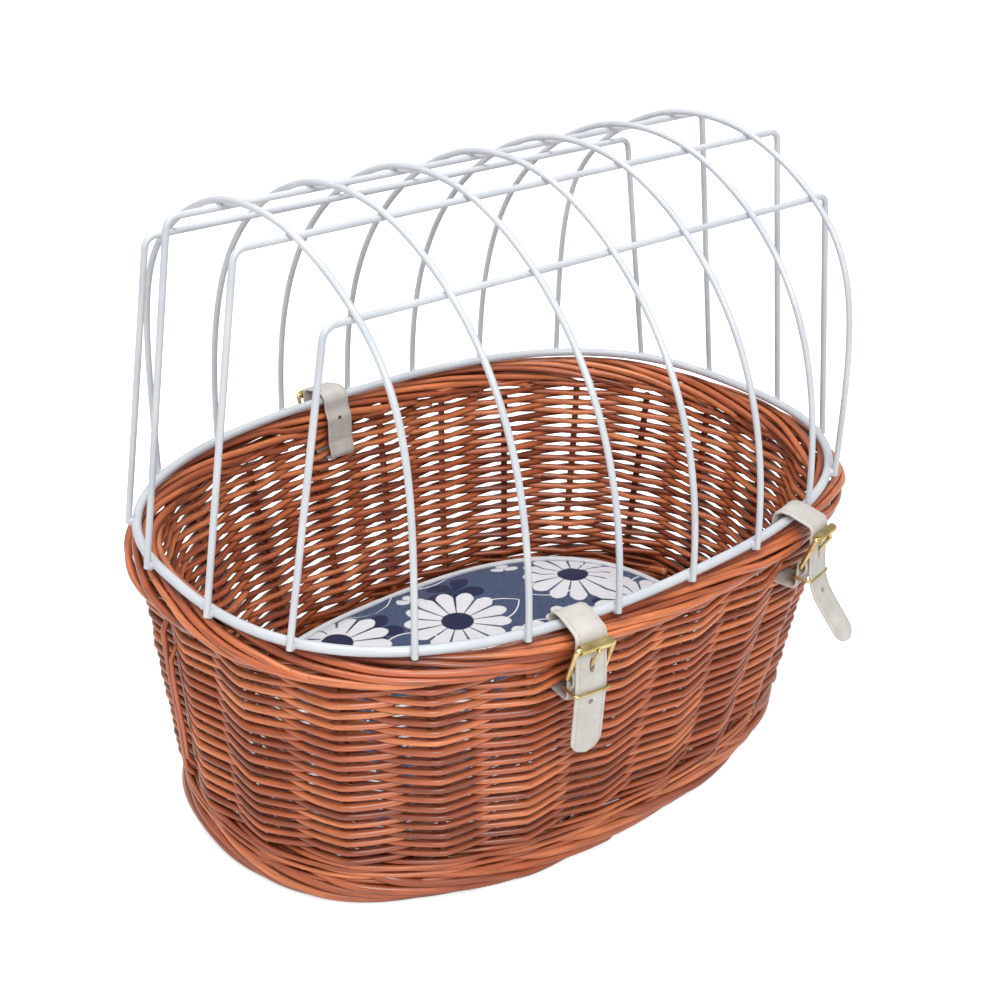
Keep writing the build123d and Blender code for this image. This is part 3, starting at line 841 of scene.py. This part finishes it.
def make_base_sticks(materials):
    """Cross sticks and the thin sticks that pierce them."""
    rods = []
    inside = FOOT_HALF - 12 * MM
    for number in range(-4, 5):
        x = number * CROSS_PITCH
        reach = inside[1] * (1 - (abs(x) / inside[0]) ** FOOT_POWER) ** (1 / FOOT_POWER)
        y = np.linspace(-reach, reach, CROSS_STEPS)
        height = BASE_MIDDLE + 0.3 * MM * np.sin(y * 40 + x)
        points = np.column_stack([np.full(CROSS_STEPS, x), y, height])
        rods.append(rod(points, CROSS_STICK, tone=rng.random()))
    for y in (-9 * MM, 0, 9 * MM):
        x = np.linspace(-inside[0] + 6 * MM, inside[0] - 6 * MM, LONG_STEPS)
        bowed = y + 0.4 * MM * np.sin(x * 50)
        points = np.column_stack([x, bowed, np.full(LONG_STEPS, BASE_MIDDLE)])
        rods.append(rod(points, LONG_STICK, tone=rng.random()))
    return rods_piece("base_sticks", rods, materials)


# How each piece is made, its finish and the CAD nodes that it stands for.
WILLOW_PIECES = (
    (make_side_weave, "willow_weave", "side_weave"),
    (make_stakes, "willow_rod", "side_stakes"),
    (make_top_border, "willow_rod", "top_border"),
    (make_outside_rods, "willow_rod"),
    (make_foot_border, "willow_rod", "foot_border"),
    (make_bottom_wale, "willow_weave", "bottom_wale"),
    (make_base, "willow_weave", "base_weave"),
    (make_base_sticks, "willow_rod", "base_cross_sticks", "base_long_sticks"),
)
willow = [willow_material(), cut_willow_material()]
for make, finish, *nodes in WILLOW_PIECES:
    present(make(willow), "basket", finish, *nodes)

# ---- wire cover
white_wire = wire_material()


def give(node, material):
    """A CAD part keeps its shape and takes a finished material."""
    mesh = frame["nodes"][node].data
    mesh.materials.clear()
    mesh.materials.append(material)


for node in frame["nodes"]:
    if node.startswith("cover_"):
        give(node, white_wire)

RING_LOW, RING_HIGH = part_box("cover_ring")
RING_RADIUS = (RING_HIGH.z - RING_LOW.z) / 2
RING_LEVEL = (RING_HIGH.z + RING_LOW.z) / 2
RING_HALF = np.array(RING_HIGH[:2]) - RING_RADIUS
WIRE_RADIUS = 2 * MM
HOOPS = [f"cover_hoop_{number}" for number in range(1, 8)]
RAILS = [node for node in frame["nodes"] if node.startswith("cover_rail_")]
BEAD_ROUNDS = 7
BEAD_SIDES = 12
BEAD_LUMPS = 0.06
FOOT_BEAD = (2.6 * MM, 3.3 * MM)
CROSSING_BEAD = (1.3 * MM, 2.1 * MM)
SEAM_BEAD = (RING_RADIUS + 0.45 * MM, 2.2 * MM)
SEAM_PLACE = radians(186)
SEAM_WAY = (0.15, -1, 0)
OUTER_RAILS_FROM = 60 * MM
OUTER_RAIL_LIFT = 0.6
TOP_RAIL_LIFT = 0.95


def bead(centre, size, way):
    """Small lump of weld metal, longest along one direction."""
    fall = np.linspace(0, pi, BEAD_ROUNDS)[:, None]
    turn = np.linspace(0, 2 * pi, BEAD_SIDES, endpoint=False)[None]
    across = np.sin(fall) * np.cos(turn)
    beside = np.sin(fall) * np.sin(turn)
    along = np.cos(fall) + 0 * turn
    lumpy = 1 + BEAD_LUMPS * rng.standard_normal(across.shape) * np.sin(fall)
    way = unit(np.asarray(way, float))
    not_along = np.array([0.31, 0.52, 0.79])
    first = unit(np.cross(way, not_along))
    second = np.cross(way, first)
    skin = (across * lumpy * size[0])[..., None] * first
    skin = skin + (beside * lumpy * size[0])[..., None] * second
    skin = skin + (along * size[1])[..., None] * way
    _, quads = tube_quads(BEAD_ROUNDS, BEAD_SIDES, downward=True)
    return {"points": skin.reshape(-1, 3) + np.asarray(centre), "faces": quads}


def ring_contact(foot):
    """Point between the ring's centreline and a wire foot that stands outside it."""
    foot = np.array(foot)
    on_ring = oval_point(RING_HALF, atan2(foot[1], foot[0]))
    inward = foot - oval_normal(RING_HALF, on_ring) * (WIRE_RADIUS + 0.2 * MM)
    return np.array([*inward, RING_LEVEL - 0.3 * MM])


def wire_lines(names):
    """Lowest, middle and highest points of the centrelines of these wires."""
    for name in names:
        low, high = (np.array(corner, float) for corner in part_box(name))
        yield low + WIRE_RADIUS, (low + high) / 2, high - WIRE_RADIUS


def wire_feet():
    """Where every hoop and rail stands against the ring."""
    feet = []
    for low, middle, high in wire_lines(HOOPS):
        feet += [(middle[0], low[1]), (middle[0], high[1])]
    for low, middle, high in wire_lines(RAILS):
        feet += [(low[0], middle[1]), (high[0], middle[1])]
    return feet


def make_welds():
    """Weld metal at the wire feet, at the crossings and at the ring's butt joint."""
    lumps = []
    for foot in wire_feet():
        lumps.append(bead(ring_contact(foot), FOOT_BEAD, UP))
    for _, rail, top in wire_lines(RAILS):
        lift = OUTER_RAIL_LIFT if abs(rail[1]) > OUTER_RAILS_FROM else TOP_RAIL_LIFT
        away = np.array([0, np.sign(rail[1]) * np.sqrt(1 - lift**2), lift])
        for _, hoop, _ in wire_lines(HOOPS):
            crossing = np.array([hoop[0], rail[1], top[2]]) + away * WIRE_RADIUS
            lumps.append(bead(crossing, CROSSING_BEAD, np.cross(away, [1, 0, 0])))
    seam = oval_point(RING_HALF, SEAM_PLACE)
    lumps.append(bead((*seam, RING_LEVEL), SEAM_BEAD, SEAM_WAY))
    return make_mesh("weld_beads", *put_together(lumps), [white_wire])


present(make_welds(), "cover", "white_wire")

# ---- straps
LEATHER_HALF = 1.1 * MM
STRAP_HALF_WIDTH = 10.5 * MM
STITCH_INSET = 2.3 * MM
STITCH_PITCH = 3.3 * MM
STITCH_LENGTH = 2.5 * MM
THREAD_RADIUS = 0.32 * MM
STITCH_POINTS = 5
STITCH_ARCH = 0.3 * MM
STITCH_SUNK = 0.22 * MM
STRAP_STEP = 0.9 * MM
DEGREES_PER_BEND_STEP = 7
SECTION_POINTS = 28
TIP_ROUNDING = 9.5 * MM
# Strap paths: outward from the ring's centreline and height, in millimetres.
JOIN_HEIGHT = 170.1
HEEL_PATH = [
    (16.1, 166.8), (19.44, 171), (19.44, 176.84), (13.76, 176.84), (13.76, 157),
    (-14.4, 157), (-10.8, JOIN_HEIGHT),
]
HEEL_BENDS = (4, 2.6, 2.6, 4, 4)
OVER_RING = [
    (-10.8, JOIN_HEIGHT), (-10.8, 188), (-7.2, 195), (-7.2, 207.2), (3.4, 207.2),
    (20.2, 203), (20.2, 193.5), (22, 174),
]
OVER_RING_BENDS = (8, 8, 7, 7, 5, 15)
TAIL_ENDS = {
    "front_left": [(22, 162), (19.5, 122.5)],
    "front_right": [(23, 160), (50, 128)],
    "rear": [(22, 160), (21.4, 122.5)],
}
TAIL_BENDS = (15, 40)
HOLE_RADIUS = 1.7 * MM
HOLE_DEPTH = 8 * MM
HOLE_FROM_TIP = 36.5 * MM
PRONG_HOLE_HEIGHT = 182.8 * MM
PRONG_HOLE_STRETCH = 2.7
INNER_HOLE_HEIGHT = 188 * MM


def strap_frame(name):
    """Ring point of a strap, the direction outward and the direction along the ring."""
    joint = JOINTS[f"{name}_strap_open"]
    along = np.array(joint["axis"])
    outward = np.array([-along[1], along[0], 0])
    origin = np.array(joint["pos_m"]) * np.array([1, 1, 0])
    return origin, outward, along


def read_off(spots, passed, rows):
    """Rows of two values, read off at these distances along a line."""
    return np.column_stack([np.interp(spots, passed, rows[:, i]) for i in range(2)])


def rounded_path(corners, bends):
    """Evenly stepped line through corners in millimetres, each rounded by its bend."""
    corners = np.array(corners, float)
    line = [corners[0]]
    for before, corner, after, bend in zip(corners, corners[1:], corners[2:], bends):
        back, on = unit(before - corner), unit(after - corner)
        half = np.arccos(np.clip(back @ on, -1, 1)) / 2
        reach = bend / np.tan(half)
        centre = corner + unit(back + on) * bend / np.sin(half)
        start, stop = corner + back * reach - centre, corner + on * reach - centre
        sweep = pi - 2 * half
        steps = max(int(np.degrees(sweep) / DEGREES_PER_BEND_STEP), 3)
        share = np.linspace(0, 1, steps)[:, None]
        arc = start * np.sin((1 - share) * sweep) + stop * np.sin(share * sweep)
        line.extend(centre + arc / np.sin(sweep))
    line.append(corners[-1])
    line = np.array(line) * MM
    passed = distances(line)
    even = np.linspace(0, passed[-1], int(passed[-1] / STRAP_STEP))
    return read_off(even, passed, line)


def line_facts(line):
    """Directions straight out of an even line, and the distance gone along it."""
    way = unit(np.gradient(line, axis=0))
    proud = np.column_stack([-way[:, 1], way[:, 0]])
    return proud, np.arange(len(line)) * np.linalg.norm(line[1] - line[0])


def strap_section():
    """Rounded edge-to-edge outline of the leather, as width and thickness."""
    turn = np.linspace(0, 2 * pi, SECTION_POINTS, endpoint=False)
    wide = np.sign(np.cos(turn)) * np.abs(np.cos(turn)) ** 0.18
    thick = np.sign(np.sin(turn)) * np.abs(np.sin(turn)) ** 0.5
    return np.column_stack([wide, thick])


def strap_skin(name, line, rounded_tip):
    """Leather swept along a line in the strap's upright plane."""
    origin, outward, along = strap_frame(name)
    proud, passed = line_facts(line)
    half = np.full(len(line), STRAP_HALF_WIDTH)
    if rounded_tip:
        to_tip = np.clip((passed[-1] - passed) / TIP_ROUNDING, 0, 1)
        half = STRAP_HALF_WIDTH * np.sqrt(np.maximum(1 - (1 - to_tip) ** 2, 0.002))
    section = strap_section()
    edge = 1 - 0.25 * np.abs(section[:, 0]) ** 14
    thickness = (section[:, 1] * edge * LEATHER_HALF)[None, :, None]
    flat = line[:, None] + proud[:, None] * thickness
    skin = origin + flat[..., :1] * outward + flat[..., 1:] * UP
    skin = skin + (half[:, None] * section[None, :, 0])[..., None] * along
    corner, quads = tube_quads(len(line), SECTION_POINTS)
    low = np.arange(SECTION_POINTS // 2)
    high = SECTION_POINTS - 1 - low
    cap = np.column_stack([low[:-1], low[1:], high[1:], high[:-1]])
    faces = np.vstack([quads, cap[:, ::-1], cap + corner[-1, 0]])
    return skin.reshape(-1, 3), faces.tolist()


def stitch_rods(name, line, first, last):
    """Thread stitches on both faces, along both edges of a strap."""
    origin, outward, along = strap_frame(name)
    proud, passed = line_facts(line)
    rods = []
    for start in np.arange(first, passed[-1] - last, STITCH_PITCH):
        spots = np.linspace(start, start + STITCH_LENGTH, STITCH_POINTS)
        centre = read_off(spots, passed, line)
        up = read_off(spots, passed, proud)
        arch = np.sin(np.linspace(0, pi, STITCH_POINTS)) * STITCH_ARCH
        for face in (-1, 1):
            sunk = centre + up * (face * (LEATHER_HALF - STITCH_SUNK + arch))[:, None]
            for edge in (-1, 1):
                points = origin + sunk[:, :1] * outward + sunk[:, 1:] * UP
                points = points + edge * (STRAP_HALF_WIDTH - STITCH_INSET) * along
                rods.append(rod(points, THREAD_RADIUS, up=along))
    return rods


def cut_away(piece, cutters):
    """Takes closed shapes out of a piece."""
    bits = bmesh.new()
    for matrix, radius, depth, segments in cutters:
        bmesh.ops.create_cone(
            bits, cap_ends=True, segments=segments, radius1=radius, radius2=radius,
            depth=depth, matrix=matrix,
        )
    mesh = bpy.data.meshes.new("cutter")
    bits.to_mesh(mesh)
    bits.free()
    cutter = link("cutter", mesh)
    cut = piece.modifiers.new("cut", "BOOLEAN")
    cut.object = cutter
    cut.solver = "EXACT"
    apply_modifiers(piece)
    bpy.data.objects.remove(cutter)
    piece.data.set_sharp_from_angle(angle=radians(40))


def apply_modifiers(piece):
    """Makes what the modifiers show the piece's own mesh."""
    graph = bpy.context.evaluated_depsgraph_get()
    shaped = bpy.data.meshes.new_from_object(piece.evaluated_get(graph))
    piece.modifiers.clear()
    piece.data = shaped


def hole_at(name, out, height, across, stretch=1.0):
    """Matrix of a round cutter through the leather, along a direction in its plane."""
    origin, outward, along = strap_frame(name)
    centre = origin + out * outward + height * UP
    way = unit(across[0] * outward + across[1] * UP)
    side = np.cross(way, along)
    turn = np.column_stack([along, side * stretch, way])
    return Matrix.Translation(Vector(centre)) @ Matrix(turn.tolist()).to_4x4()


def join_stitches(piece, rods):
    """Adds stitches to a strap as part of the same mesh."""
    thread = rods_piece("stitches", rods, [stitching])
    for attribute in ("tone", "grain"):
        thread.data.attributes.remove(thread.data.attributes[attribute])
    with bpy.context.temp_override(
        active_object=piece, object=piece, selected_editable_objects=[piece, thread]
    ):
        bpy.ops.object.join()


def make_tail(name):
    """Free end of a strap: inside the border, over the ring and down through the buckle."""
    line = rounded_path(OVER_RING + TAIL_ENDS[name], OVER_RING_BENDS + TAIL_BENDS)
    points, faces = strap_skin(name, line, True)
    piece = make_mesh(f"{name}_strap", points, faces, [leather])
    proud, passed = line_facts(line)
    at_tip = len(line) - 1 - int(HOLE_FROM_TIP / passed[1])
    outside = line[:, 0] >= 0
    at_prong = int(np.argmin(np.abs(line[:, 1] - PRONG_HOLE_HEIGHT) + ~outside))
    tip_hole = hole_at(name, *line[at_tip], proud[at_tip])
    prong_hole = hole_at(name, *line[at_prong], proud[at_prong], PRONG_HOLE_STRETCH)
    inner_hole = hole_at(name, line[0, 0], INNER_HOLE_HEIGHT, (1, 0))
    cut_away(piece, [
        (tip_hole, HOLE_RADIUS, HOLE_DEPTH, 20),
        (prong_hole, HOLE_RADIUS, HOLE_DEPTH, 24),
        (inner_hole, HOLE_RADIUS, HOLE_DEPTH, 20),
    ])
    join_stitches(piece, stitch_rods(name, line, 1 * MM, 8.5 * MM))
    return piece


PRONG_OPENING = (2.2 * MM, 4.6 * MM, 4.6 * MM)
PRONG_OPENING_RISE = 0.2 * MM


def make_heel(name):
    """Fixed end of a strap: folded round the buckle's bar, through the wall and up."""
    line = rounded_path(HEEL_PATH, HEEL_BENDS)
    points, faces = strap_skin(name, line, False)
    piece = make_mesh(f"{name}_strap_anchor", points, faces, [leather])
    bar = JOINTS[f"{name}_prong_swing"]["pos_m"]
    origin, outward, along = strap_frame(name)
    out = float((np.array(bar) - origin) @ outward)
    turn = Matrix(np.column_stack([along, outward, UP]).tolist()) @ Matrix.Diagonal(PRONG_OPENING)
    centre = Vector(origin + out * outward + (bar[2] + PRONG_OPENING_RISE) * UP)
    square = Matrix.Translation(centre) @ turn.to_4x4() @ Matrix.Rotation(pi / 4, 4, "Z")
    cut_away(piece, [(square, 2**0.5, 2, 4)])
    join_stitches(piece, stitch_rods(name, line, 24 * MM, 1 * MM))
    return piece


leather = leather_material()
stitching = thread_material()
brass = brass_material()
for name in STRAP_NAMES:
    for part in ("buckle_frame", "buckle_roller", "buckle_prong", "keeper"):
        give(f"{name}_{part}", brass)
    present(make_heel(name), "basket", "leather", f"{name}_strap_heel")
    tail = make_tail(name)
    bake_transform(tail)
    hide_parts(f"{name}_strap_tail")

# ---- cushion
PAD_LOW, PAD_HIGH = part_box("cushion_cover")
PAD_HALF = np.array(PAD_HIGH[:2])
PAD_SEGMENTS = 192
PAD_EDGE = 8 * MM
PAD_PRESSURE = 4.0
CLOTH_QUALITY = 6
CLOTH_MASS = 0.25
PAD_SLACK = -0.03
PAD_MOST_MOVE = 6 * MM
PAD_TOP_RINGS = 22
PAD_LIFT = 0.3 * MM
DENT_DEPTH = 0.9 * MM
PIPING_RADIUS = 2.1 * MM
PIPING_LEAN = 0.7
SIM_FRAMES = 20


def pad_rings():
    """Inset from the pad's outline and height of each ring of its skin, top to bottom."""
    low, high = PAD_LOW.z + 1 * MM, PAD_HIGH.z - 4 * MM
    inner = np.linspace(float(PAD_HALF[1]) - 4 * MM, PAD_EDGE, PAD_TOP_RINGS)
    top = [(inset, high) for inset in inner]
    round_top = [
        (PAD_EDGE * (1 - sin(turn)), high - PAD_EDGE * (1 - cos(turn)))
        for turn in np.linspace(0, pi / 2, 5)[1:]
    ]
    round_low = [(inset, low + high - height) for inset, height in reversed(round_top)]
    bottom = [(inset, low) for inset in reversed(inner)]
    return top, round_top + round_low, bottom


def make_pad():
    """Soft pad: an oval skin that the cloth simulation swells between its seam and base."""
    top, edge, bottom = pad_rings()
    rings = top + edge + bottom
    angle = np.arange(PAD_SEGMENTS) * 2 * pi / PAD_SEGMENTS
    points = []
    for inset, height in rings:
        flat = oval_point(PAD_HALF - inset, angle)
        points.append(np.column_stack([flat, np.full(PAD_SEGMENTS, height)]))
    corner, quads = tube_quads(len(rings), PAD_SEGMENTS, downward=True)
    faces = quads.tolist() + [corner[0].tolist(), corner[-1, ::-1].tolist()]
    pad = make_mesh("printed_cushion", np.vstack(points), faces, [printed_denim])
    seam = corner[len(top)]
    held = pad.vertex_groups.new(name="held")
    held.add(np.concatenate([seam, corner[len(top) + len(edge):].ravel()]).tolist(), 1.0, "ADD")
    return pad, seam


def swell(pad):
    """Blows the pad up as cloth, with how far any point may move limited."""
    before = np.array([v.co for v in pad.data.vertices])
    cloth = pad.modifiers.new("cloth", "CLOTH")
    settings = cloth.settings
    settings.quality = CLOTH_QUALITY
    settings.mass = CLOTH_MASS
    settings.use_pressure = True
    settings.uniform_pressure_force = PAD_PRESSURE
    settings.shrink_min = PAD_SLACK
    settings.vertex_group_mass = "held"
    settings.effector_weights.gravity = 0
    cloth.point_cache.frame_start = 1
    cloth.point_cache.frame_end = SIM_FRAMES
    for step in range(1, SIM_FRAMES + 1):
        scene.frame_set(step)
    graph = bpy.context.evaluated_depsgraph_get()
    after = np.array([v.co for v in pad.evaluated_get(graph).data.vertices])
    pad.modifiers.clear()
    scene.frame_set(1)
    moved = after - before
    length = np.maximum(np.linalg.norm(moved, axis=1, keepdims=True), 1e-9)
    capped = before + moved * np.minimum(1, PAD_MOST_MOVE / length)
    capped[:, 2] = np.maximum(capped[:, 2], PAD_LOW.z + PAD_LIFT)
    pad.data.vertices.foreach_set("co", capped.astype(np.float32).ravel())
    pad.data.update()


def settle(pad):
    """Shallow dents of a used pad, and one level of subdivision."""
    points = np.array([v.co for v in pad.data.vertices])
    wave = np.sin(points[:, 0] * 31 + 0.7) * np.sin(points[:, 1] * 43 + 1.1)
    wave = wave + 0.6 * np.sin(points[:, 0] * 67 - points[:, 1] * 38)
    upper = np.clip((points[:, 2] - PAD_LOW.z - 12 * MM) / (10 * MM), 0, 1)
    inside = np.clip(1 - np.linalg.norm(points[:, :2] / PAD_HALF, axis=1) ** 4, 0, 1)
    points[:, 2] += DENT_DEPTH * wave * upper * inside
    pad.data.vertices.foreach_set("co", points.astype(np.float32).ravel())
    finer = pad.modifiers.new("finer", "SUBSURF")
    finer.levels = finer.render_levels = 1
    apply_modifiers(pad)


printed_denim = printed_denim_material()
piping_tape = piping_material()
pad, seam = make_pad()
seam_points = np.array([pad.data.vertices[int(i)].co for i in seam])
swell(pad)
settle(pad)
seam_line = np.vstack([seam_points, seam_points[:3]])
outward_up = (unit(seam_line * np.array([1, 1, 0])) + UP) * PIPING_LEAN
cord = rod(seam_line + outward_up * PIPING_RADIUS * 0.75, PIPING_RADIUS)
piping = rods_piece("cushion_piping_cord", [cord], [piping_tape])
present(pad, "cushion", "printed_denim", "cushion_cover", "cushion_foam")
present(piping, "cushion", "piping", "cushion_piping")


# ---- studio
FLOOR_SIZE = 12
FLOOR_DROP = 0.2 * MM
FLOOR_LIFT = 0.5
AMBIENT = 0.5
AIM = Vector((0, 0, 0.15))


def floor_material():
    """Plain pale floor, lifted a little where the camera sees it."""
    g = Graph("pale_floor")
    fleck = g.noise(g.place(), 6.0)
    colour = g.ramp(fleck, (0.4, (0.90, 0.90, 0.90)), (0.6, (0.92, 0.92, 0.92)))
    seen = g.node("LightPath").outputs["Is Camera Ray"]
    return g.finish(
        Base_Color=colour,
        Roughness=0.7,
        Emission_Color=(1, 1, 1, 1),
        Emission_Strength=g.times(seen, FLOOR_LIFT),
    )


bpy.ops.mesh.primitive_plane_add(size=FLOOR_SIZE, location=(0, 0, -FLOOR_DROP))
floor = bpy.context.object
floor.name = "floor"
floor.data.materials.append(floor_material())


def add_area_light(name, place, width, power):
    """Soft square light aimed at the basket's middle."""
    data = bpy.data.lights.new(name, "AREA")
    data.shape = "SQUARE"
    data.size = width
    data.energy = power
    light = link(name, data)
    light.location = place
    light.rotation_euler = (AIM - Vector(place)).to_track_quat("-Z", "Y").to_euler()


add_area_light("key", (-0.9, -1.7, 1.7), 0.9, 34)
add_area_light("top", (-0.25, 0.15, 2.2), 1.4, 34)


def add_world():
    """White backdrop to the camera that lights the basket at AMBIENT strength."""
    world = bpy.data.worlds.new("studio")
    scene.world = world
    world.use_nodes = True
    tree = world.node_tree
    backdrop = tree.nodes["Background"]
    backdrop.inputs["Color"].default_value = (1, 1, 1, 1)
    seen_or_felt = tree.nodes.new("ShaderNodeMapRange")
    seen_or_felt.inputs["To Min"].default_value = AMBIENT
    rays = tree.nodes.new("ShaderNodeLightPath")
    tree.links.new(rays.outputs["Is Camera Ray"], seen_or_felt.inputs["Value"])
    tree.links.new(seen_or_felt.outputs["Result"], backdrop.inputs["Strength"])


add_world()
scene.view_settings.view_transform = "Standard"

CAMERA_PLACE = (-0.5791, -0.6746, 0.6443)
CAMERA_AZIMUTH = radians(-40.688)
CAMERA_ELEVATION = radians(27.614)
CAMERA_ROLL = radians(1.141)
LENS = 53.307
SENSOR_WIDTH = 36


def add_camera():
    """Camera at the reference view's angle."""
    back = Vector((
        sin(CAMERA_AZIMUTH) * cos(CAMERA_ELEVATION),
        -cos(CAMERA_AZIMUTH) * cos(CAMERA_ELEVATION),
        sin(CAMERA_ELEVATION),
    ))
    right = (-back).cross(Vector(UP)).normalized()
    up = right.cross(-back)
    x_way = cos(CAMERA_ROLL) * right + sin(CAMERA_ROLL) * up
    y_way = cos(CAMERA_ROLL) * up - sin(CAMERA_ROLL) * right
    data = bpy.data.cameras.new("view")
    data.lens = LENS
    data.sensor_width = SENSOR_WIDTH
    camera = link("view", data)
    turn = Matrix((x_way, y_way, back)).transposed()
    camera.matrix_world = Matrix.Translation(CAMERA_PLACE) @ turn.to_4x4()
    bpy.context.scene.camera = camera


add_camera()
